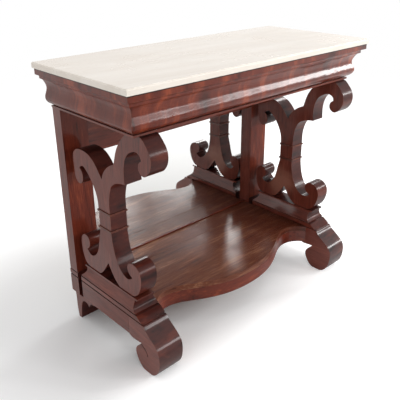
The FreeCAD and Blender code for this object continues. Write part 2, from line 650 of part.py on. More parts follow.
wedges = []
wedge_y = ("mirror_face + mirror_thickness", "back_plane")
reed_z = ("runner_top + groove_height", "band_top - groove_height")
for side, sign in SIDES:
    wedge_x = across(sign, "pilaster_inner", "pilaster_inner + rebate_width")
    for index, name in enumerate(BACKBOARDS):
        middle = f"band_top + ({index} + 0.5) * backboard_width"
        wedge_z = (f"{middle} - wedge_length / 2", f"{middle} + wedge_length / 2")
        wedges.append(board(f"{side}_{name}_wedge", wedge_x, wedge_y, wedge_z))

    label = f"{side}_pilaster"
    pilaster_x = across(sign, "pilaster_inner", "base_outer")
    pilaster_z = ("band_top", "marble_foot")
    pilaster = board(f"{label}_blank", pilaster_x, ("pilaster_front", "back_plane"), pilaster_z)
    rebate = board(f"{label}_rebate", wedge_x, ("mirror_face", "back_plane"), pilaster_z)
    shoulder = board(f"{label}_shoulder", across(sign, "core_outer", "base_outer"),
                     ("pilaster_front", "back_plane"), ("apron_foot", "marble_foot"))
    cutters = [rebate, shoulder] + holes(label, sign, "pilaster")
    for name, levels in NAIL_LEVELS.items():
        cutters += [nail(f"{label}_{name}_{step}_hole", sign, level, SLACK)
                    for step, level in zip(("foot", "head"), levels)]
    bored(label, pilaster, cutters)

    label = f"{side}_pilaster_base"
    base_y = ("pilaster_front", "back_plane + pilaster_base_step")
    grooved_x = across(sign, "pilaster_inner", "base_outer - groove_depth")
    core = board(f"{label}_core", grooved_x, base_y, ("foot_height", "band_top"))
    block = board(f"{label}_block", pilaster_x, base_y, ("foot_height", "runner_top"))
    reed = board(f"{label}_reed", pilaster_x, base_y, reed_z)
    bored(label, joined(f"{label}_blank", [core, block, reed]), holes(label, sign, "pilaster", "heel"))
group("mirror_wedges", wedges)

# Supports: two scrolls and a waist block, parted by collars and threaded on one dowel
for side, sign in SIDES:
    stem_x = across(sign, "support_inner", "support_outer")
    stem_y = ("stem_front", "stem_back")
    collar_x = across(sign, "support_inner - collar_projection", "support_outer + collar_projection")
    collar_y = ("stem_front - collar_projection", "stem_back + collar_projection")

    label = f"{side}_upper_scroll"
    blank = sawn(f"{label}_blank", "YZ_Plane", upper_scroll_outline(), "support_thickness", "x", stem_x[0])
    bored(label, blank, holes(label, sign, "seat", "stem"))

    label = f"{side}_lower_scroll"
    blank = sawn(f"{label}_blank", "YZ_Plane", lower_scroll_outline(), "support_thickness", "x", stem_x[0])
    bored(label, blank, holes(label, sign, "stem", "front_curl", "rear_curl"))

    for label, x, y, z in (
        (f"{side}_upper_collar", collar_x, collar_y, ("waist_top", "upper_scroll_foot")),
        (f"{side}_waist_block", stem_x, stem_y, ("waist_foot", "waist_top")),
        (f"{side}_lower_collar", collar_x, collar_y, ("lower_collar_foot", "waist_foot")),
    ):
        bored(label, board(f"{label}_blank", x, y, z), holes(label, sign, "stem"))

    names = ("seat", "stem", "front_curl", "rear_curl")
    group(f"{side}_support_dowels", [peg(f"{side}_{name}_dowel", *dowels(sign)[name]) for name in names])

# Base: plinth on a reeded band, on a runner with a scroll foot and a bracket foot
screws = []
SCREW_SHARES = (0.15, 0.5, 0.85)


def screw(label, sign, share, slack="0"):
    """Screw through the cleat into the runner, with its head sunk flush in the cleat."""
    level, along = "cleat_foot + screw_rise", f"cleat_front + {share} * (base_back - cleat_front)"
    shank_length, head_length = "cleat_section + screw_grip", "screw_head_height"
    shank_x = "cleat_inner" if sign > 0 else "-base_inner - screw_grip"
    head_x = "cleat_inner" if sign > 0 else "-cleat_inner - screw_head_height"
    shank = peg(f"{label}_shank", "x", (shank_x, along, level), shank_length, "screw_radius", slack)
    head = peg(f"{label}_head", "x", (head_x, along, level), head_length, "screw_head_radius", slack)
    return joined(label, [shank, head])


def screw_row(label, sign, slack="0"):
    return [screw(f"{label}_{n}", sign, share, slack) for n, share in enumerate(SCREW_SHARES, 1)]


for side, sign in SIDES:
    base_x = across(sign, "base_inner", "base_outer")
    low_x = base_x[0]

    label = f"{side}_plinth_block"
    blank = sawn(f"{label}_blank", "YZ_Plane", plinth_outline(), "base_thickness", "x", low_x)
    slopes = []
    for name, foot_x, top_x in plinth_sides():
        slope = closed([(sign * x, z) for x, z in plinth_slope(foot_x, top_x)])
        slopes.append(sawn(f"{label}_{name}_slope", "XZ_Plane", slope, "base_back - base_front", "y",
                           "base_back"))
    bored(label, blank, slopes + holes(label, sign, "front_curl", "rear_curl"))

    label = f"{side}_bead_band"
    core_x = across(sign, "base_inner + groove_depth", "base_outer - groove_depth")
    core = sawn(f"{label}_core", "YZ_Plane", band_outline(0, at("groove_depth")),
                "base_thickness - 2 * groove_depth", "x", core_x[0])
    reed = sawn(f"{label}_reed", "YZ_Plane", band_outline(at("groove_height"), 0),
                "base_thickness", "x", low_x)
    joined(label, [core, reed])

    label = f"{side}_runner"
    blank = board(f"{label}_blank", base_x, ("foot_back", "base_back"), ("foot_height", "runner_top"))
    bored(label, blank, holes(label, sign, "foot") + screw_row(f"{label}_hole", sign, SLACK))

    label = f"{side}_front_foot"
    blank = sawn(f"{label}_blank", "YZ_Plane", front_foot_outline(), "base_thickness", "x", low_x)
    bored(label, blank, holes(label, sign, "foot"))

    label = f"{side}_rear_foot"
    blank = sawn(f"{label}_blank", "YZ_Plane", rear_foot_outline(), "base_thickness", "x", low_x)
    bored(label, blank, holes(label, sign, "heel"))

    names = ("foot", "heel", "pilaster")
    group(f"{side}_base_dowels", [peg(f"{side}_{name}_dowel", *dowels(sign)[name]) for name in names])

    label = f"{side}_shelf_cleat"
    blank = board(f"{label}_blank", across(sign, "cleat_inner", "base_inner"), ("cleat_front", "base_back"),
                  ("cleat_foot", "shelf_foot"))
    bored(label, blank, screw_row(f"{label}_hole", sign, SLACK))
    screws += screw_row(f"{side}_screw", sign)
group("cleat_screws", screws)

# Shelf: two edge-jointed boards over a serpentine front rail and a straight rear rail
half, seam, notch = at("base_inner"), at("shelf_seam"), at("pilaster_inner")
front_edge = shelf_front()
front_plan = curve(front_edge) + lines([front_edge[-1], (half, seam), (-half, seam), front_edge[0]])
sawn("shelf_front_board", "XY_Plane", front_plan, "shelf_thickness", "z", "shelf_foot")
pilaster_y, back_y = at("pilaster_front"), at("back_plane")
back_plan = closed([(-half, seam), (half, seam), (half, pilaster_y), (notch, pilaster_y), (notch, back_y),
                    (-notch, back_y), (-notch, pilaster_y), (-half, pilaster_y)])
sawn("shelf_back_board", "XY_Plane", back_plan, "shelf_thickness", "z", "shelf_foot")

inner_edge = shelf_front(at("shelf_rail_thickness"))
rail_plan = curve(front_edge) + lines([front_edge[-1], inner_edge[-1]]) + curve(inner_edge[::-1])
rail_plan += lines([inner_edge[0], front_edge[0]])
sawn("shelf_front_rail", "XY_Plane", rail_plan, "shelf_rail_height", "z", "shelf_rail_foot")
board("shelf_rear_rail", ("-pilaster_inner", "pilaster_inner"), ("rear_rail_front", "rear_rail_back"),
      ("shelf_rail_foot", "shelf_foot"))

shelf_blocks = []
for name, middle in (("left", "-bearer_spacing / 2"), ("middle", "0"), ("right", "bearer_spacing / 2")):
    block_x = (f"{middle} - block_length / 2", f"{middle} + block_length / 2")
    shelf_blocks.append(board(f"{name}_shelf_block", block_x,
                              ("rear_rail_front - block_section", "rear_rail_front"),
                              ("shelf_foot - block_section", "shelf_foot")))
group("shelf_glue_blocks", shelf_blocks)

SIDED = ("cornice", "bottom_bead", "core_rail", "pilaster", "pilaster_base", "upper_scroll",
         "upper_collar", "waist_block", "lower_collar", "lower_scroll", "support_dowels", "plinth_block",
         "bead_band", "runner", "front_foot", "rear_foot", "base_dowels", "shelf_cleat")
SINGLE = ("marble_top", "front_cornice", "front_bottom_bead", "front_core_rail", "upper_back_panel",
          "marble_bearers", "frame_glue_blocks", "mirror_glass", "mirror_bottom_bead", "mirror_wedges",
          "lower_backboard", "middle_backboard", "upper_backboard", "backboard_nails", "shelf_front_board",
          "shelf_back_board", "shelf_front_rail", "shelf_rear_rail", "cleat_screws", "shelf_glue_blocks")
NODES = SINGLE + tuple(f"{side}_{name}" for name in SIDED for side, sign in SIDES)

doc.recompute()
failed = [item.Label for item in doc.Objects if "Invalid" in item.State or "Error" in item.State]
if failed:
    raise RuntimeError(f"objects that failed: {failed}")
os.makedirs("parts", exist_ok=True)
for node in NODES:
    shape = doc.getObjectsByLabel(node)[0].Shape
    if shape.isNull() or not shape.isValid() or not shape.Solids:
        raise RuntimeError(f"no sound solid in {node}")
    shape.exportStep(f"parts/{node}.step")
print(f"{len(NODES)} nodes written")
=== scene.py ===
"""Looks of a mahogany pier table: its polish, marble, mirror and studio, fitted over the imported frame."""

import math

import bmesh
import bpy
from mathutils import Matrix, Vector
from mathutils.bvhtree import BVHTree


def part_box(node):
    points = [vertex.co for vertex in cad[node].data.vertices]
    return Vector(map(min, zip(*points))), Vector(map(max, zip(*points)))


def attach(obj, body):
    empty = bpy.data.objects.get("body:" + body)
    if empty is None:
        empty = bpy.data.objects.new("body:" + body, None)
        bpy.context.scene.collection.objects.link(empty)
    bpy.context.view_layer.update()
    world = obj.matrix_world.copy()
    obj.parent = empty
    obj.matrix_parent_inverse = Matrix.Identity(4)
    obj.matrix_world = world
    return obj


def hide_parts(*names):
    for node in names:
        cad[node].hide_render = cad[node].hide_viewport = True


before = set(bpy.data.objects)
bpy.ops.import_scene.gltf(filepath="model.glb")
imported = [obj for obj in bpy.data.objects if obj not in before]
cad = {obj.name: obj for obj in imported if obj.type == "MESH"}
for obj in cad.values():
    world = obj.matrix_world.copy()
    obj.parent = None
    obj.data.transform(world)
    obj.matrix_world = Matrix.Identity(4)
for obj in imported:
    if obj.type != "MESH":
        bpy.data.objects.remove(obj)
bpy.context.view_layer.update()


# Node helpers

COLOUR, NUMBER, PLACE = "NodeSocketColor", "NodeSocketFloat", "NodeSocketVector"
SHAPE, COUNT, FINISH = "NodeSocketGeometry", "NodeSocketInt", "NodeSocketMaterial"
MIX_SHARE, MIX_FIRST, MIX_SECOND, MIX_COLOUR = 0, 6, 7, 2  # places of a mix node's colour sockets
EVEN = (1, 1, 1)


def fill(tree, socket, value):
    """Links a socket to another one, or sets its value."""
    if isinstance(value, bpy.types.NodeSocket):
        tree.links.new(value, socket)
    else:
        socket.default_value = value


def add(tree, kind, inputs=None, **settings):
    """A node with its settings made and its inputs linked or set."""
    made = tree.nodes.new(kind)
    for name, value in settings.items():
        setattr(made, name, value)
    for key, value in (inputs or {}).items():
        fill(tree, made.inputs[key], value)
    return made


def calc(tree, operation, first, second=0.0, third=0.0, held=False):
    """The output of one arithmetic node, held between 0 and 1 if asked."""
    made = add(tree, "ShaderNodeMath", {0: first, 1: second, 2: third}, operation=operation, use_clamp=held)
    return made.outputs[0]


def between(tree, value, low, high, bottom=0.0, top=1.0):
    """A value eased from bottom to top as it goes from low to high."""
    made = add(tree, "ShaderNodeMapRange", {"Value": value, "From Min": low, "From Max": high,
                                            "To Min": bottom, "To Max": top}, interpolation_type="SMOOTHSTEP")
    return made.outputs["Result"]


def mixed(tree, share, first, second, way="MIX"):
    """Two colours mixed by a share."""
    made = add(tree, "ShaderNodeMix", {MIX_SHARE: share, MIX_FIRST: first, MIX_SECOND: second},
               data_type="RGBA", blend_type=way)
    return made.outputs[MIX_COLOUR]


def cloud(tree, place, scale=1.0, detail=3.0, roughness=0.55, distortion=0.0):
    """A noise value over the given place."""
    made = add(tree, "ShaderNodeTexNoise", {"Vector": place, "Scale": scale, "Detail": detail,
                                            "Roughness": roughness, "Distortion": distortion})
    return made.outputs["Fac"]


def here_on(tree):
    """The object coordinates, which are the table's own."""
    return add(tree, "ShaderNodeTexCoord").outputs["Object"]


def stretched(tree, scale, turn=(0.0, 0.0, 0.0), move=(0.0, 0.0, 0.0)):
    """Object coordinates scaled along each axis, a small scale drawing the pattern out along it."""
    made = add(tree, "ShaderNodeMapping", {"Vector": here_on(tree), "Location": move, "Rotation": turn,
                                           "Scale": scale})
    return made.outputs["Vector"]


def distance_from(tree, spot):
    """How far a place lies from a spot of the table."""
    made = add(tree, "ShaderNodeVectorMath", {0: here_on(tree), 1: spot}, operation="DISTANCE")
    return made.outputs["Value"]


def along_axis(tree, axis):
    """One of the object coordinates."""
    return add(tree, "ShaderNodeSeparateXYZ", {0: here_on(tree)}).outputs[axis]


def attribute(tree, name):
    """A value that a piece carries on its faces or corners."""
    return add(tree, "ShaderNodeAttribute", attribute_name=name).outputs["Fac"]


def new_group(name, inputs, outputs, kind="ShaderNodeTree"):
    """An empty node group with named sockets, and its input and output nodes."""
    tree = bpy.data.node_groups.new(name, kind)
    for label, socket_type in inputs:
        tree.interface.new_socket(label, in_out="INPUT", socket_type=socket_type)
    for label, socket_type in outputs:
        tree.interface.new_socket(label, in_out="OUTPUT", socket_type=socket_type)
    return tree, tree.nodes.new("NodeGroupInput").outputs, tree.nodes.new("NodeGroupOutput")


def sockets_of(tree):
    """The identifiers of a group's inputs by their labels."""
    return {item.name: item.identifier for item in tree.interface.items_tree if item.in_out == "INPUT"}


def give(tree, outlet, **values):
    """Links a group's results to its output sockets."""
    for label, value in values.items():
        tree.links.new(value, outlet.inputs[label])


def use(tree, group, **inputs):
    """The outputs of a group placed in a material with its own values."""
    made = tree.nodes.new("ShaderNodeGroup")
    made.node_tree = group
    for label, value in inputs.items():
        fill(tree, made.inputs[label], value)
    return made.outputs


def empty_tree(holder):
    """The cleared node tree of a material or a world."""
    holder.use_nodes = True
    holder.node_tree.nodes.clear()
    return holder.node_tree


# Shared effects

# dark tone of old wax and dust, also used as painted shade in quirks and corners
GRIME_SHADE_TONE = (0.012, 0.006, 0.005, 1)
WORN_DULLS = 0.18  # roughness that rubbing adds
GRIME_DULLS = 0.3  # roughness that old wax and dust add


def wood_figure_group():
    """Grain of a board: broad figure, fine streaks and dark pores along the stretched axis."""
    tree, given, outlet = new_group(
        "wood_figure",
        [("Place", PLACE), ("Dark", COLOUR), ("Ground", COLOUR), ("Light", COLOUR), ("Figure", NUMBER),
         ("Pores", NUMBER), ("Contrast", NUMBER)],
        [("Colour", COLOUR), ("Height", NUMBER)])
    middle = 0.5
    broad = cloud(tree, given["Place"], scale=1.0, detail=3.0, roughness=0.5, distortion=1.1)
    fine = cloud(tree, given["Place"], scale=7.0, detail=6.0, roughness=0.62, distortion=0.3)
    flecks = cloud(tree, given["Place"], scale=42.0, detail=2.0, roughness=0.6)
    kept = calc(tree, "SUBTRACT", 1.0, given["Figure"])
    broad_part = calc(tree, "MULTIPLY", broad, given["Figure"])
    fine_part = calc(tree, "MULTIPLY", fine, kept)
    tone = calc(tree, "ADD", broad_part, fine_part)
    tone = calc(tree, "MULTIPLY_ADD", calc(tree, "SUBTRACT", tone, middle), given["Contrast"], middle)
    lower = mixed(tree, between(tree, tone, low=0.33, high=middle), given["Dark"], given["Ground"])
    upper = mixed(tree, between(tree, tone, low=middle, high=0.68), lower, given["Light"])
    pore = calc(tree, "MULTIPLY", between(tree, flecks, low=0.58, high=0.68), given["Pores"])
    height = calc(tree, "SUBTRACT", calc(tree, "MULTIPLY", fine, 0.5), pore)
    give(tree, outlet, Colour=mixed(tree, pore, upper, given["Dark"]), Height=height)
    return tree


def worn_edges_group():
    """Rubbed edges: the eased edges of a piece show a paler, duller tone in broken lengths."""
    tree, given, outlet = new_group(
        "worn_edges",
        [("Colour", COLOUR), ("Worn", COLOUR), ("Roughness", NUMBER), ("Amount", NUMBER)],
        [("Colour", COLOUR), ("Roughness", NUMBER)])
    edge = attribute(tree, "arris")
    breaks = cloud(tree, stretched(tree, EVEN), scale=34.0, detail=4.0, roughness=0.6)
    breaks = between(tree, breaks, low=0.4, high=0.62)
    rubbed = calc(tree, "MULTIPLY", calc(tree, "MULTIPLY", edge, breaks), given["Amount"])
    give(tree, outlet, Colour=mixed(tree, rubbed, given["Colour"], given["Worn"]),
         Roughness=calc(tree, "MULTIPLY_ADD", rubbed, WORN_DULLS, given["Roughness"]))
    return tree


def grime_and_shade_group():
    """Old wax and dust in quirks and corners that a cloth doesn't reach, and painted shade there: faces close to
    another face are darkened.
    """
    tree, given, outlet = new_group(
        "grime_and_painted_shade",
        [("Colour", COLOUR), ("Roughness", NUMBER), ("Amount", NUMBER)],
        [("Colour", COLOUR), ("Roughness", NUMBER), ("Clean", NUMBER)])
    # faces that lie close to another face are darkened: dirt and painted shade
    deep = between(tree, attribute(tree, "recess"), low=0.3, high=0.85)
    patches = cloud(tree, stretched(tree, EVEN), scale=21.0, detail=4.0, roughness=0.6)
    patches = between(tree, patches, low=0.2, high=0.6, bottom=0.7)
    dirt_and_shade = calc(tree, "MULTIPLY", calc(tree, "MULTIPLY", deep, patches), given["Amount"])
    give(tree, outlet, Colour=mixed(tree, dirt_and_shade, given["Colour"], GRIME_SHADE_TONE),
         Roughness=calc(tree, "MULTIPLY_ADD", dirt_and_shade, GRIME_DULLS, given["Roughness"]),
         Clean=calc(tree, "SUBTRACT", 1.0, dirt_and_shade))
    return tree


def handling_group():
    """Uneven polish: cloudy patches left by hands and cloths."""
    tree, given, outlet = new_group("handling", [("Spread", NUMBER)], [("Smudge", NUMBER)])
    smudge = cloud(tree, stretched(tree, EVEN), given["Spread"], detail=4.0, roughness=0.6, distortion=0.4)
    give(tree, outlet, Smudge=between(tree, smudge, low=0.35, high=0.7))
    return tree


WOOD_FIGURE = wood_figure_group()
WORN_EDGES = worn_edges_group()
GRIME_AND_SHADE = grime_and_shade_group()
HANDLING = handling_group()


# Materials

def new_material(name):
    """A material with a Principled surface, ready for its nodes."""
    made = bpy.data.materials.new(name)
    tree = empty_tree(made)
    surface = tree.nodes.new("ShaderNodeBsdfPrincipled")
    outlet = tree.nodes.new("ShaderNodeOutputMaterial")
    tree.links.new(surface.outputs[0], outlet.inputs["Surface"])
    return made, tree, surface


def bumped(tree, surface, height, strength, distance):
    """A bump from a height, linked to the surface."""
    bump = add(tree, "ShaderNodeBump", {"Height": height, "Strength": strength, "Distance": distance})
    tree.links.new(bump.outputs[0], surface.inputs["Normal"])


SMUDGE_SPREAD, SMUDGE_DULLS = 7.0, 0.1  # size of the polish's cloudy patches, and the roughness they add
# the painted shadow line under the marble's edge
PAINTED_SHADOW_LINE = {"half": 0.0008, "depth": 0.9, "colour": (0.010, 0.005, 0.004, 1)}
# painted sheen: the wood keeps its tone around a pale area and darkens away from it
PAINTED_SHEEN = {"near": 0.2, "far": 0.75, "wander": 0.12, "colour": (0.55, 0.42, 0.40, 1)}
# a paler rubbed spot, which also paints a sheen
RUB_AND_SHEEN = {"near": 0.03, "far": 0.11, "wander": 0.03, "share": 0.85}
GRAIN_BUMP = 0.0006


def wood(name, grain, dark, ground, light, worn, figure=0.5, pores=0.4, size=3.0, move=(0.0, 0.0, 0.0),
         polish=0.33, coat=0.85, coat_polish=0.10, wear=0.6, grain_depth=0.25, shade_and_grime=0.8, bare_shine=0.08,
         painted_shadow_at=None, contrast=1.0, patchy=0.15, sheen_at=None, rubbed=None):
    """A wood with its grain drawn out along an axis, its edges worn and its polish uneven.

    Painted light: a shadow line darkens it above a given height, a sheen keeps it pale around a given middle and
    darker away from it, and a rubbed bare spot is paler and stands for a sheen too.
    """
    made, tree, surface = new_material(name)
    place = stretched(tree, tuple(size * part for part in grain), move=move)
    figured = use(tree, WOOD_FIGURE, Place=place, Dark=(*dark, 1), Ground=(*ground, 1), Light=(*light, 1),
                  Figure=figure, Pores=pores, Contrast=contrast)
    smudge = use(tree, HANDLING, Spread=SMUDGE_SPREAD)["Smudge"]
    dull = calc(tree, "MULTIPLY_ADD", smudge, SMUDGE_DULLS, polish)
    edges = use(tree, WORN_EDGES, Colour=figured["Colour"], Worn=(*worn, 1), Roughness=dull, Amount=wear)
    surfaced = edges["Colour"]
    # painted shadow: above the given height the wood is darkened as if in the marble's shade
    if painted_shadow_at:
        line = between(tree, along_axis(tree, "Z"), painted_shadow_at - PAINTED_SHADOW_LINE["half"], painted_shadow_at + PAINTED_SHADOW_LINE["half"],
                       top=PAINTED_SHADOW_LINE["depth"])
        surfaced = mixed(tree, line, surfaced, PAINTED_SHADOW_LINE["colour"])
    # painted sheen: darker the farther from the given middle, so a pale area is left there
    if sheen_at:
        away = calc(tree, "MULTIPLY_ADD", smudge, PAINTED_SHEEN["wander"], distance_from(tree, sheen_at))
        share = between(tree, away, PAINTED_SHEEN["near"], PAINTED_SHEEN["far"])
        surfaced = mixed(tree, share, surfaced, PAINTED_SHEEN["colour"], "MULTIPLY")
    # a paler rubbed spot around the given place, partly real wear and partly painted sheen
    if rubbed:
        away = calc(tree, "MULTIPLY_ADD", smudge, RUB_AND_SHEEN["wander"], distance_from(tree, rubbed))
        share = between(tree, away, RUB_AND_SHEEN["near"], RUB_AND_SHEEN["far"], bottom=RUB_AND_SHEEN["share"], top=0.0)
        surfaced = mixed(tree, share, surfaced, (*worn, 1))
    # dirt and painted shade where a face lies close to another face
    dirt_and_shade = use(tree, GRIME_AND_SHADE, Colour=surfaced, Roughness=edges["Roughness"], Amount=shade_and_grime)
    tree.links.new(dirt_and_shade["Colour"], surface.inputs["Base Color"])
    tree.links.new(dirt_and_shade["Roughness"], surface.inputs["Roughness"])
    surface.inputs["Specular IOR Level"].default_value = bare_shine
    if coat:
        broken = calc(tree, "MULTIPLY_ADD", smudge, -patchy, 1.0)
        thick = calc(tree, "MULTIPLY", attribute(tree, "film"), coat, held=True)
        thick = calc(tree, "MULTIPLY", thick, dirt_and_shade["Clean"])
        thick = calc(tree, "MULTIPLY", thick, broken)
        tree.links.new(thick, surface.inputs["Coat Weight"])
        surface.inputs["Coat Roughness"].default_value = coat_polish
    bumped(tree, surface, figured["Height"], grain_depth, GRAIN_BUMP)
    return made


def tones(dark, ground, light, worn):
    """The four tones of a wood, from its dark streaks to its rubbed edges."""
    return {"dark": dark, "ground": ground, "light": light, "worn": worn}


ALONG_X, ALONG_Y, ALONG_Z = (1.0, 11.0, 11.0), (11.0, 1.0, 11.0), (11.0, 11.0, 1.0)
FLAME_FRONT_GRAIN, FLAME_SIDE_GRAIN = (3.6, 1.0, 0.9), (1.0, 4.0, 0.9)
MARBLE_SHADE_LEVEL = 0.892

MAHOGANY = {**tones((0.075, 0.016, 0.010), (0.130, 0.027, 0.016), (0.185, 0.041, 0.024), (0.27, 0.11, 0.075)),
            "figure": 0.45, "contrast": 1.2}
# paler tones of the mahogany for the front feet: painted light, as the floor lights them
FOOT_LIT_TONES = tones((0.095, 0.022, 0.014), (0.165, 0.038, 0.024), (0.230, 0.056, 0.034), (0.30, 0.13, 0.09))
CROSSBAND = {**tones((0.017, 0.0052, 0.0045), (0.053, 0.0110, 0.0080), (0.103, 0.0205, 0.0120),
                     (0.22, 0.09, 0.06)),
             "grain": (5.0, 15.0, 15.0), "figure": 0.75, "size": 1.0, "coat_polish": 0.15, "contrast": 1.15}
FLAME = tones((0.050, 0.011, 0.007), (0.130, 0.023, 0.012), (0.260, 0.052, 0.021), (0.28, 0.12, 0.08))
# the cornice gets a painted shadow line under the marble
APRON = {**FLAME, "wear": 0.75, "painted_shadow_at": MARBLE_SHADE_LEVEL, "contrast": 1.3}
PILASTER = {**FLAME, "figure": 0.5, "size": 2.6, "coat": 0.8}
SHELF = tones((0.060, 0.016, 0.010), (0.160, 0.050, 0.026), (0.335, 0.152, 0.082), (0.30, 0.13, 0.08))
COLLAR = tones((0.045, 0.011, 0.008), (0.10, 0.026, 0.017), (0.18, 0.055, 0.032), (0.34, 0.17, 0.11))
PINE = {**tones((0.20, 0.12, 0.06), (0.36, 0.24, 0.13), (0.48, 0.35, 0.21), (0.50, 0.38, 0.25)),
        "figure": 0.35, "pores": 0.2, "size": 2.0, "polish": 0.62, "coat": 0.0, "wear": 0.5,
        "grain_depth": 0.4, "bare_shine": 0.3}
BIRCH = tones((0.38, 0.26, 0.15), (0.56, 0.42, 0.27), (0.66, 0.53, 0.37), (0.68, 0.56, 0.42))

mahogany_upright = wood("mahogany_upright", ALONG_Z, size=3.2, **MAHOGANY)
# the right uprights carry a paler rubbed spot on the lower scroll's inner face, partly painted sheen
mahogany_upright_right = wood("mahogany_upright_right", ALONG_Z, size=3.2, move=(7.3, 2.1, 4.4), coat=0.45,
                              rubbed=(0.39, 0.033, 0.316), **MAHOGANY)
mahogany_lengthwise = wood("mahogany_lengthwise", ALONG_X, figure=0.5, size=2.6, coat=1.5, **FLAME)
mahogany_deep = wood("mahogany_deep", ALONG_Y, size=2.8, **MAHOGANY)
# the front feet take the paler copy, painted light from the floor
mahogany_foot_lit = wood("mahogany_foot_lit", ALONG_Y, figure=0.45, size=2.8, coat=1.0, **FOOT_LIT_TONES)
crossband = wood("crossband_veneer", **CROSSBAND)
crossband_right = wood("crossband_veneer_right", move=(3.7, 1.9, 0.6), **CROSSBAND)
flame_front = wood("flame_veneer_front", FLAME_FRONT_GRAIN, figure=0.72, size=2.6, coat=1.5, coat_polish=0.16,
                   bare_shine=0.12, **APRON)
flame_side = wood("flame_veneer_side", FLAME_SIDE_GRAIN, figure=0.68, size=2.4, coat=0.4, bare_shine=0.2,
                  **APRON)
pilaster_front = wood("pilaster_veneer", ALONG_Z, **PILASTER)
pilaster_front_right = wood("pilaster_veneer_right", ALONG_Z, move=(2.9, 5.3, 1.7), **PILASTER)
# the shelf keeps a painted sheen pale at its left back
worn_shelf = wood("worn_shelf_mahogany", ALONG_X, figure=0.5, pores=0.5, size=2.2, coat=0.85, coat_polish=0.17,
                  grain_depth=0.8, patchy=0.7, sheen_at=(-0.3, 0.12, 0.17), wear=0.3, **SHELF)
collar_edge = wood("collar_mahogany", ALONG_Y, figure=0.4, size=4.0, wear=0.8, **COLLAR)
aged_pine = wood("aged_pine", ALONG_X, **PINE)
aged_pine_upright = wood("aged_pine_upright", ALONG_Z, **PINE)
birch = wood("dowel_birch", ALONG_Z, figure=0.3, pores=0.15, size=4.0, polish=0.55, coat=0.0, wear=0.4,
             bare_shine=0.3, **BIRCH)


def cream_marble():
    """Cream marble with faint streaks along its length, small specks and a paler rubbed edge."""
    made, tree, surface = new_material("cream_marble")
    deep, pale, rubbed = (0.75, 0.67, 0.585, 1), (0.84, 0.775, 0.70, 1), (0.86, 0.80, 0.71, 1)
    vein, fleck = (0.61, 0.535, 0.455, 1), (0.55, 0.48, 0.40, 1)
    drift = cloud(tree, stretched(tree, (1.6, 7.0, 7.0)), detail=5.0, roughness=0.62, distortion=0.8)
    streak = cloud(tree, stretched(tree, (4.0, 30.0, 30.0), turn=(0, 0, 0.05)), detail=4.0, roughness=0.6,
                   distortion=1.4)
    speck = cloud(tree, stretched(tree, (60.0, 110.0, 110.0)), detail=2.0, roughness=0.5)
    body = mixed(tree, between(tree, drift, low=0.3, high=0.7), deep, pale)
    veined = mixed(tree, between(tree, streak, low=0.6, high=0.74, top=0.32), body, vein)
    specked = mixed(tree, between(tree, speck, low=0.66, high=0.75, top=0.3), veined, fleck)
    smudge = use(tree, HANDLING, Spread=5.0)["Smudge"]
    dull = calc(tree, "MULTIPLY_ADD", smudge, SMUDGE_DULLS, 0.2)
    edges = use(tree, WORN_EDGES, Colour=specked, Worn=rubbed, Roughness=dull, Amount=0.7)
    tree.links.new(edges["Colour"], surface.inputs["Base Color"])
    tree.links.new(edges["Roughness"], surface.inputs["Roughness"])
    bumped(tree, surface, calc(tree, "ADD", streak, speck), strength=0.06, distance=0.0004)
    return made


def silvered_plate():
    """Old mirror plate: silver with a little cloudiness and dark foxing specks."""
    made, tree, surface = new_material("silvered_plate")
    dim, bright, spotted = (0.88, 0.88, 0.865, 1), (0.93, 0.935, 0.925, 1), (0.22, 0.20, 0.17, 1)
    fox = cloud(tree, stretched(tree, (26.0, 26.0, 26.0)), detail=5.0, roughness=0.7)
    fox = calc(tree, "MULTIPLY", between(tree, fox, low=0.68, high=0.8), 0.6)
    haze = cloud(tree, stretched(tree, (3.0, 3.0, 3.0)), detail=3.0, roughness=0.5)
    haze = between(tree, haze, low=0.35, high=0.75)
    silver = mixed(tree, fox, mixed(tree, haze, dim, bright), spotted)
    tree.links.new(silver, surface.inputs["Base Color"])
    smudge = use(tree, HANDLING, Spread=4.0)["Smudge"]
    tree.links.new(calc(tree, "MULTIPLY_ADD", smudge, 0.03, 0.01), surface.inputs["Roughness"])
    surface.inputs["Metallic"].default_value = 1.0
    bumped(tree, surface, haze, strength=0.01, distance=0.0005)
    return made


def black_iron():
    """Blackened iron with rust in patches, for nails and screws."""
    made, tree, surface = new_material("black_iron")
    black, red, bare = (0.055, 0.05, 0.047, 1), (0.16, 0.065, 0.03, 1), (0.20, 0.18, 0.165, 1)
    rust = cloud(tree, stretched(tree, (90.0, 90.0, 90.0)), detail=5.0, roughness=0.65)
    rust = between(tree, rust, low=0.5, high=0.66)
    grit = cloud(tree, stretched(tree, (600.0, 600.0, 600.0)), detail=3.0, roughness=0.6)
    smudge = use(tree, HANDLING, Spread=40.0)["Smudge"]
    dull = calc(tree, "MULTIPLY_ADD", smudge, 0.2, 0.45)
    edges = use(tree, WORN_EDGES, Colour=mixed(tree, rust, black, red), Worn=bare, Roughness=dull, Amount=0.6)
    tree.links.new(edges["Colour"], surface.inputs["Base Color"])
    tree.links.new(edges["Roughness"], surface.inputs["Roughness"])
    tree.links.new(calc(tree, "MULTIPLY_ADD", rust, -0.7, 0.8), surface.inputs["Metallic"])
    bumped(tree, surface, grit, strength=0.3, distance=0.0004)
    return made


marble = cream_marble()
mirror = silvered_plate()
iron = black_iron()


# Pieces

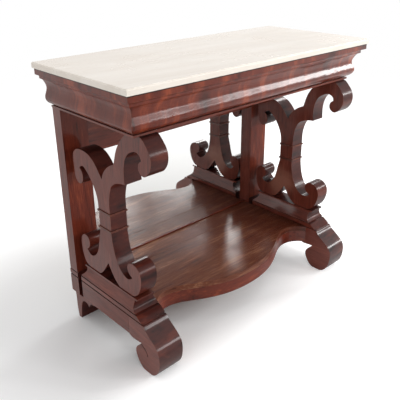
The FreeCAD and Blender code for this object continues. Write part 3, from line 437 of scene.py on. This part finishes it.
WELD = 2e-5  # corners closer than this are one
FLAT = math.radians(0.3)  # facets that bend less than this are one face
KEEN = math.radians(35.0)  # edges that bend more than this are eased
CRISP = math.radians(50)  # edges that bend more than this break the shine
BAND_LEAN = 0.6  # faces that look less to the side than this take the crossband
JOINT_LINE = 0.25  # eased edges with at least this share of feelers met are joint lines
SIDE_FROM, SIDE_OVER = 0.6, 0.3  # the lean to the side at which the polish thickens, and over which it fills
FEELER_REACH, FEELER_LIFT = 0.012, 3e-4
FEELER_LEANS, FEELER_TURNS = (0.35, 0.8), (0.0, 1.571, 3.142, 4.712)
FEELERS = [Vector((math.cos(turn) * lean, math.sin(turn) * lean, math.sqrt(1.0 - lean * lean)))
           for lean in FEELER_LEANS for turn in FEELER_TURNS]


def stood(name, data):
    """A new object in the scene."""
    made = bpy.data.objects.new(name, data)
    bpy.context.scene.collection.objects.link(made)
    return made


def whole_table():
    """All the CAD solids as one searchable surface, to find the places that lie close to another face."""
    work = bmesh.new()
    for node in cad.values():
        start = len(work.verts)
        work.from_mesh(node.data)
        bmesh.ops.transform(work, matrix=node.matrix_world, verts=work.verts[start:])
    tree = BVHTree.FromBMesh(work)
    work.free()
    return tree


TABLE = whole_table()


def closeness(spot, outward):
    """The share of short feelers from a spot on a face that meet another face."""
    turn = outward.to_track_quat("Z", "Y")
    start = spot + outward * FEELER_LIFT
    met = sum(TABLE.ray_cast(start, turn @ feeler, FEELER_REACH)[0] is not None for feeler in FEELERS)
    return met / len(FEELERS)


def cad_shape(node, weld):
    """A working copy of a CAD node's shape, with corners that fall together made one."""
    work = bmesh.new()
    work.from_mesh(cad[node].data)
    work.transform(cad[node].matrix_world)
    bmesh.ops.remove_doubles(work, verts=work.verts, dist=weld)
    return work


def eased_copy(node, ease, banded):
    """A CAD piece with its facets merged and its sharp edges eased by about a millimetre."""
    work = cad_shape(node, WELD)
    bmesh.ops.dissolve_limit(work, angle_limit=FLAT, verts=work.verts, edges=work.edges)
    arris = work.faces.layers.float.new("arris")
    keen = [edge for edge in work.edges if edge.is_manifold and edge.calc_face_angle_signed(0.0) > KEEN]
    made = bmesh.ops.bevel(work, geom=keen, offset=ease, offset_type="OFFSET", segments=2, profile=0.5,
                           affect="EDGES", clamp_overlap=True)
    for face in made["faces"]:
        face[arris] = 1.0
    # recess: the share of feelers that meet another face, which darkens the face as dirt and painted shade
    recess = work.faces.layers.float.new("recess")
    for face in work.faces:
        near = closeness(face.calc_center_median(), face.normal)
        face[recess] = 1.0 if face[arris] and near >= JOINT_LINE else near
        face.material_index = int(banded and abs(face.normal.x) < BAND_LEAN)
    mesh = bpy.data.meshes.new(node + "_finished")
    work.to_mesh(mesh)
    work.free()
    mesh.shade_smooth()
    mesh.set_sharp_from_angle(angle=CRISP)
    return mesh


def settled(piece):
    """The mesh of a piece after its modifiers are made part of it."""
    ready = piece.evaluated_get(bpy.context.evaluated_depsgraph_get())
    finished = bpy.data.meshes.new_from_object(ready)
    piece.modifiers.clear()
    piece.data = finished
    return finished


def polish_film(mesh, thin, rise):
    """Thickness of the polish: full on faces that look to the side, thin on others, rising along X if asked."""
    film = mesh.attributes.new("film", "FLOAT", "CORNER")
    for corner, loop, direction in zip(film.data, mesh.loops, mesh.corner_normals):
        sideways = min(max((abs(direction.vector.x) - SIDE_FROM) / SIDE_OVER, 0.0), 1.0)
        least = thin + rise * mesh.vertices[loop.vertex_index].co.x
        corner.value = least + (1.0 - least) * sideways


STONE_EASE, ROUGH_EASE, WOOD_EASE, STRIP_EASE, FINE_EASE = 0.0012, 0.001, 0.0008, 0.0006, 0.0005


def dressed(node, material, ease=WOOD_EASE, band=None, kerf=None, thin=0.28, rise=0.0):
    """The finished piece for one CAD node, with crossbanded edges and a saw kerf where it has them."""
    piece = stood(node + "_finished", eased_copy(node, ease, band is not None))
    for finish in [material] + ([band] if band else []):
        piece.data.materials.append(finish)
    if kerf:
        cut = piece.modifiers.new("kerf", "BOOLEAN")
        cut.object, cut.operation, cut.solver = kerf, "DIFFERENCE", "EXACT"
    # broad faces keep their own direction of shine up to the eased edge
    piece.modifiers.new("even_shine", "WEIGHTED_NORMAL").keep_sharp = True
    polish_film(settled(piece), thin, rise)
    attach(piece, "root")
    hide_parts(node)


# Saw kerfs of the front feet

KERF_RADIUS, KERF_STEPS, KERF_SIDES = 0.0021, 8, 12
KERF_LINE = ((-0.152, 0.0965), (-0.158, 0.092), (-0.167, 0.087), (-0.176, 0.0805), (-0.183, 0.072),
             (-0.187, 0.061))  # Y and Z of the points it passes


def kerf_tree():
    """Geometry Nodes: a round saw kerf that follows a line."""
    tree, given, outlet = new_group(
        "kerf_along_line", [("Line", SHAPE), ("Radius", NUMBER), ("Finish", FINISH)], [("Kerf", SHAPE)],
        "GeometryNodeTree")
    line = add(tree, "GeometryNodeMeshToCurve", {0: given["Line"]})
    smooth = add(tree, "GeometryNodeCurveSplineType", {0: line.outputs[0]}, spline_type="CATMULL_ROM")
    steps = add(tree, "GeometryNodeSetSplineResolution", {"Geometry": smooth.outputs[0],
                                                          "Resolution": KERF_STEPS})
    ring = add(tree, "GeometryNodeCurvePrimitiveCircle", {"Resolution": KERF_SIDES, "Radius": given["Radius"]},
               mode="RADIUS")
    swept = add(tree, "GeometryNodeCurveToMesh", {"Curve": steps.outputs[0], "Profile Curve": ring.outputs[0],
                                                  "Fill Caps": True})
    # the kerf is marked fully recessed, so it is painted dark as shade and dirt in the groove
    deep = add(tree, "GeometryNodeStoreNamedAttribute", {"Geometry": swept.outputs[0], "Name": "recess",
                                                         "Value": 1.0}, data_type="FLOAT", domain="FACE")
    real = add(tree, "GeometryNodeRealizeInstances", {0: deep.outputs[0]})
    done = add(tree, "GeometryNodeSetMaterial", {"Geometry": real.outputs[0], "Material": given["Finish"]})
    give(tree, outlet, Kerf=done.outputs[0])
    return tree


KERF_TREE = kerf_tree()


def volute_kerf(side, sign, finish):
    """The kerf that marks the start of a front foot's volute on its outer face."""
    face_x = sign * max(abs(corner[0]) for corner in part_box(side + "_front_foot"))
    mesh = bpy.data.meshes.new(side + "_kerf")
    points = [(face_x, y, z) for y, z in KERF_LINE]
    mesh.from_pydata(points, [(n, n + 1) for n in range(len(points) - 1)], [])
    tool = stood(side + "_kerf", mesh)
    sweep = tool.modifiers.new("kerf_along_line", "NODES")
    sweep.node_group = KERF_TREE
    sockets = sockets_of(KERF_TREE)
    sweep[sockets["Radius"]], sweep[sockets["Finish"]] = KERF_RADIUS, finish
    settled(tool)
    return tool


# Nails and screws

FASTENER_MEASURES = ("Length", "Tip", "Shank", "Head", "Head Height", "Slot")
HEAD_SIDES, HEAD_CRISP, TWIST_SEED, TWIST_MOST = 24, math.radians(40), 11, 3.1
SAME_CORNER = 1e-6
INTO = {"X": (0.0, math.pi / 2, 0.0), "-X": (0.0, -math.pi / 2, 0.0), "Y": (math.pi / 2, 0.0, 0.0)}


def fastener_tree(name, slotted):
    """Geometry Nodes: a tapered shank under a flat head on each point, with a slot in a screw's head."""
    measures = [(label, NUMBER) for label in FASTENER_MEASURES]
    tree, given, outlet = new_group(name, [("Points", SHAPE), ("Sides", COUNT), *measures, ("Finish", FINISH)],
                                    [("Fasteners", SHAPE)], "GeometryNodeTree")
    shank = add(tree, "GeometryNodeMeshCone", {"Vertices": given["Sides"], "Radius Top": given["Tip"],
                                               "Radius Bottom": given["Shank"], "Depth": given["Length"]})
    disc = add(tree, "GeometryNodeMeshCylinder", {"Vertices": HEAD_SIDES, "Radius": given["Head"],
                                                  "Depth": given["Head Height"]})
    half = add(tree, "ShaderNodeCombineXYZ", {"Z": calc(tree, "MULTIPLY", given["Head Height"], 0.5)})
    head = add(tree, "GeometryNodeTransform", {"Geometry": disc.outputs[0],
                                               "Translation": half.outputs[0]}).outputs[0]
    if slotted:
        room = add(tree, "ShaderNodeCombineXYZ", {"X": calc(tree, "MULTIPLY", given["Head"], 3.0),
                                                  "Y": given["Slot"],
                                                  "Z": calc(tree, "MULTIPLY", given["Slot"], 2.0)})
        groove = add(tree, "GeometryNodeMeshCube", {"Size": room.outputs[0]})
        head = add(tree, "GeometryNodeMeshBoolean", {"Mesh 1": head, "Mesh 2": groove.outputs[0]},
                   operation="DIFFERENCE").outputs[0]
    whole = tree.nodes.new("GeometryNodeJoinGeometry")
    tree.links.new(shank.outputs[0], whole.inputs[0])
    tree.links.new(head, whole.inputs[0])
    turn = add(tree, "GeometryNodeInputNamedAttribute", {"Name": "turn"}, data_type="FLOAT_VECTOR").outputs[0]
    aim = add(tree, "FunctionNodeEulerToRotation", {0: turn})
    placed = add(tree, "GeometryNodeInstanceOnPoints", {"Points": given["Points"], "Instance": whole.outputs[0],
                                                        "Rotation": aim.outputs[0]})
    twist = add(tree, "FunctionNodeRandomValue", {"Seed": TWIST_SEED}, data_type="FLOAT")
    angle = add(tree, "ShaderNodeCombineXYZ", {"Z": calc(tree, "MULTIPLY", twist.outputs[1], TWIST_MOST)})
    spin = add(tree, "FunctionNodeEulerToRotation", {0: angle.outputs[0]})
    turned = add(tree, "GeometryNodeRotateInstances", {"Instances": placed.outputs[0], "Local Space": True,
                                                       "Rotation": spin.outputs[0]})
    real = add(tree, "GeometryNodeRealizeInstances", {0: turned.outputs[0]})
    done = add(tree, "GeometryNodeSetMaterial", {"Geometry": real.outputs[0], "Material": given["Finish"]})
    give(tree, outlet, Fasteners=done.outputs[0])
    return tree


def islands(node):
    """The lowest and highest corner of each separate solid of a CAD node."""
    work = cad_shape(node, SAME_CORNER)
    left = set(work.verts)
    corners = []
    for first in work.verts:
        if first not in left:
            continue
        left.remove(first)
        reach, found = [first], []
        while reach:
            here = reach.pop()
            found.append(here.co.copy())
            for edge in here.link_edges:
                other = edge.other_vert(here)
                if other in left:
                    left.remove(other)
                    reach.append(other)
        corners.append(tuple(Vector(pick(spot[axis] for spot in found) for axis in range(3))
                             for pick in (min, max)))
    work.free()
    return corners


def nail_head(low, high):
    """A nail's head is at its back end, and the nail lies along Y."""
    return Vector((low.x + high.x, 2 * high.y, low.z + high.z)) / 2, "Y"


def screw_head(low, high):
    """A screw's head is at its end next to the middle of the table, and the screw lies along X."""
    inner = min(low.x, high.x, key=abs)
    return Vector((2 * inner, low.y + high.y, low.z + high.z)) / 2, "X" if low.x > 0 else "-X"


def driven(node, head_place, **sizes):
    """The nails or screws of one CAD node, each with its head where the CAD one has it."""
    heads = [head_place(low, high) for low, high in islands(node)]
    mesh = bpy.data.meshes.new(node + "_driven")
    mesh.from_pydata([spot for spot, _ in heads], [], [])
    turns = mesh.attributes.new("turn", "FLOAT_VECTOR", "POINT")
    for point, (_, way) in zip(turns.data, heads):
        point.vector = INTO[way]
    piece = stood(node + "_driven", mesh)
    spread = piece.modifiers.new("fasteners", "NODES")
    spread.node_group = fastener_tree(node + "_on_points", sizes["Slot"] > 0)
    sockets = sockets_of(spread.node_group)
    for label, size in sizes.items():
        spread[sockets[label.replace("_", " ")]] = size
    spread[sockets["Finish"]] = iron
    finished = settled(piece)
    finished.shade_smooth()
    finished.set_sharp_from_angle(angle=HEAD_CRISP)
    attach(piece, "root")
    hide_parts(node)


def carried(node, material):
    """A hidden CAD node that keeps its own shape and gets its finish."""
    shape = cad[node]
    shape.data.materials.clear()
    shape.data.materials.append(material)


# The table, piece by piece

APRON_FILM, APRON_RISE = 0.35, 0.50  # polish of the front cornice at its middle, and its rise to the right
FOOT_FILM = 0.5  # polish that the front feet have beyond the uprights

dressed("marble_top", marble, STONE_EASE)
dressed("front_cornice", flame_front, thin=APRON_FILM, rise=APRON_RISE)
dressed("front_bottom_bead", mahogany_lengthwise, STRIP_EASE)
dressed("upper_back_panel", mahogany_lengthwise)
dressed("mirror_glass", mirror, FINE_EASE)
dressed("mirror_bottom_bead", mahogany_lengthwise, FINE_EASE)
dressed("shelf_front_board", worn_shelf)
dressed("shelf_back_board", worn_shelf)
dressed("shelf_front_rail", mahogany_lengthwise)
for board in ("lower_backboard", "middle_backboard", "upper_backboard", "front_core_rail", "shelf_rear_rail",
              "marble_bearers", "frame_glue_blocks", "shelf_glue_blocks"):
    dressed(board, aged_pine, ROUGH_EASE)
# each side: its direction along X, its polish, its upright wood, crossband and pilaster veneer
for side, sign, thin, upright, band, front in (
        ("left", -1, 0.28, mahogany_upright, crossband, pilaster_front),
        ("right", 1, 0.42, mahogany_upright_right, crossband_right, pilaster_front_right)):
    dressed(side + "_cornice", flame_side)
    dressed(side + "_bottom_bead", mahogany_deep, STRIP_EASE)
    dressed(side + "_core_rail", aged_pine, ROUGH_EASE)
    dressed(side + "_shelf_cleat", aged_pine, ROUGH_EASE)
    dressed(side + "_pilaster", upright, band=front)
    for part in ("pilaster_base", "upper_scroll", "waist_block", "lower_scroll", "rear_foot"):
        dressed(side + "_" + part, upright, band=band, thin=thin)
    for part in ("plinth_block", "bead_band", "runner"):
        dressed(side + "_" + part, mahogany_deep, band=band, thin=thin)
    tool = volute_kerf(side, sign, mahogany_foot_lit)
    dressed(side + "_front_foot", mahogany_foot_lit, band=band, kerf=tool, thin=thin + FOOT_FILM)
    bpy.data.objects.remove(tool)
    for part in ("upper_collar", "lower_collar"):
        dressed(side + "_" + part, collar_edge, FINE_EASE)
    carried(side + "_support_dowels", birch)
    carried(side + "_base_dowels", birch)
carried("mirror_wedges", aged_pine_upright)
driven("backboard_nails", nail_head, Sides=4, Length=0.02, Tip=0.0005, Shank=0.0013, Head=0.0015,
       Head_Height=0.0013, Slot=0.0)
driven("cleat_screws", screw_head, Sides=16, Length=0.04, Tip=0.0014, Shank=0.0024, Head=0.005,
       Head_Height=0.003, Slot=0.0011)


# Studio

WHITE = (1, 1, 1, 1)
PAPER, PAPER_SEEN = (0.80, 0.80, 0.80, 1), (0.93, 0.93, 0.93, 1)  # as light finds it, and as the camera sees it
FLOOR_HALF = 9.0
FLOOR_ENDS = {"low": 1.6, "high": 4.2}  # distance over which the floor fades into the white
SHADOW_MIDDLE = (-0.4, 0.1, 0.0)
GLOW_ASIDE = {"low": 0.4, "high": 1.0, "top": 0.4}  # by the distance from the shadow's middle
GLOW_AHEAD = {"low": -0.36, "high": -0.12, "bottom": 0.5, "top": 0.0}  # by the place in front of the table
ROOM_LIGHT, ROOM_SEEN = 0.6, 1.0  # strength of the white room, as light and as seen
LAMPS = (
    # name, place, aim, width, height, watts
    ("right_softbox", (2.7, -1.95, 1.42), (0.2, -0.1, 0.6), 1.9, 0.35, 38.0),
    ("shelf_strip", (2.7, -2.1, 2.1), (0.1, 0.0, 0.3), 0.25, 0.6, 15.0),
    ("rear_softbox", (2.7, 0.95, 2.3), (0.3, 0.0, 0.4), 0.4, 0.4, 10.0),
    ("front_card", (1.35, -2.6, 1.5), (-0.3, -0.2, 0.4), 0.8, 0.9, 16.0),
    ("front_lamp", (1.3, -2.3, 1.28), (-0.3, -0.2, 0.5), 0.22, 0.3, 5.0),
    ("left_fill", (-2.6, -0.9, 1.2), (-0.4, 0.0, 0.6), 1.4, 1.4, 8.0),
    ("high_lamp", (1.5, 0.9, 3.1), (0.0, 0.0, 0.3), 0.3, 0.3, 6.0),
    ("overhead_sheet", (0.3, 0.6, 6.0), (0.0, 0.0, 0.5), 5.0, 5.0, 76.0),
)
CAMERA_PLACE = (-1.2938, -1.2946, 1.2363)
CAMERA_YAW, CAMERA_PITCH, CAMERA_ROLL = math.radians(43.026), math.radians(23.678), math.radians(-0.343)
FOCAL_PIXELS, PICTURE_PIXELS, SENSOR_WIDTH, LENS_SHIFT = 557.78, 400.0, 36.0, -0.0370


def studio_floor():
    """A pale floor that fades into the white of the studio and keeps the table's shadow, with a painted glow,
    seen only by the camera, away from the shadow and in front of the table.
    """
    work = bmesh.new()
    bmesh.ops.create_grid(work, x_segments=1, y_segments=1, size=FLOOR_HALF)
    mesh = bpy.data.meshes.new("studio_floor")
    work.to_mesh(mesh)
    work.free()
    floor = stood("studio_floor", mesh)
    made = bpy.data.materials.new("pale_paper")
    tree = empty_tree(made)
    far = add(tree, "ShaderNodeVectorMath", {0: here_on(tree)}, operation="LENGTH").outputs["Value"]
    fade = between(tree, far, **FLOOR_ENDS)
    seen = add(tree, "ShaderNodeLightPath").outputs["Is Camera Ray"]
    paper = add(tree, "ShaderNodeBsdfDiffuse", {"Color": mixed(tree, seen, PAPER, PAPER_SEEN)})
    aside = between(tree, distance_from(tree, SHADOW_MIDDLE), **GLOW_ASIDE)
    ahead = between(tree, along_axis(tree, "Y"), **GLOW_AHEAD)
    # painted glow for the camera, strongest away from the table's shadow and in front of it
    paler = calc(tree, "MULTIPLY", calc(tree, "MAXIMUM", aside, ahead), seen)
    glow = add(tree, "ShaderNodeEmission", {"Color": WHITE, "Strength": paler})
    lit = add(tree, "ShaderNodeAddShader", {0: paper.outputs[0], 1: glow.outputs[0]})
    clear = add(tree, "ShaderNodeBsdfTransparent")
    mix = add(tree, "ShaderNodeMixShader", {0: fade, 1: lit.outputs[0], 2: clear.outputs[0]})
    outlet = tree.nodes.new("ShaderNodeOutputMaterial")
    tree.links.new(mix.outputs[0], outlet.inputs["Surface"])
    mesh.materials.append(made)


def studio_world():
    """Even white room light, seen as plain white behind the table and in its polish."""
    world = bpy.data.worlds.new("studio")
    bpy.context.scene.world = world
    tree = empty_tree(world)
    path = add(tree, "ShaderNodeLightPath").outputs
    seen = calc(tree, "MAXIMUM", path["Is Camera Ray"], path["Is Glossy Ray"])
    seen = calc(tree, "MAXIMUM", seen, path["Is Transmission Ray"])
    level = between(tree, seen, low=0.0, high=1.0, bottom=ROOM_LIGHT, top=ROOM_SEEN)
    back = add(tree, "ShaderNodeBackground", {"Color": WHITE, "Strength": level})
    outlet = tree.nodes.new("ShaderNodeOutputWorld")
    tree.links.new(back.outputs[0], outlet.inputs["Surface"])


def softbox(name, place, target, width, height, power):
    """A soft rectangular lamp turned to a point of the table."""
    lamp = bpy.data.lights.new(name, "AREA")
    lamp.shape = "RECTANGLE"
    lamp.size, lamp.size_y = width, height
    lamp.energy = power
    holder = stood(name, lamp)
    holder.location = place
    aim = Vector(target) - Vector(place)
    holder.rotation_euler = aim.to_track_quat("-Z", "Y").to_euler()


def camera_at_photo():
    """The camera where the photograph was taken from."""
    yaw, pitch, roll = CAMERA_YAW, CAMERA_PITCH, CAMERA_ROLL
    right = Vector((math.cos(yaw), -math.sin(yaw), 0.0))
    ahead = Vector((math.sin(yaw) * math.cos(pitch), math.cos(yaw) * math.cos(pitch), -math.sin(pitch)))
    up = right.cross(ahead)
    across = math.cos(roll) * right + math.sin(roll) * up
    upward = math.cos(roll) * up - math.sin(roll) * right
    turn = Matrix((across, upward, -ahead)).transposed().to_4x4()
    lens = bpy.data.cameras.new("photo_camera")
    lens.sensor_width = SENSOR_WIDTH
    lens.lens = FOCAL_PIXELS * SENSOR_WIDTH / PICTURE_PIXELS
    lens.shift_y = LENS_SHIFT
    holder = stood("photo_camera", lens)
    holder.matrix_world = Matrix.Translation(CAMERA_PLACE) @ turn
    bpy.context.scene.camera = holder


bpy.context.scene.view_settings.view_transform = "Standard"
studio_floor()
studio_world()
for lamp in LAMPS:
    softbox(*lamp)
camera_at_photo()

bpy.context.view_layer.update()
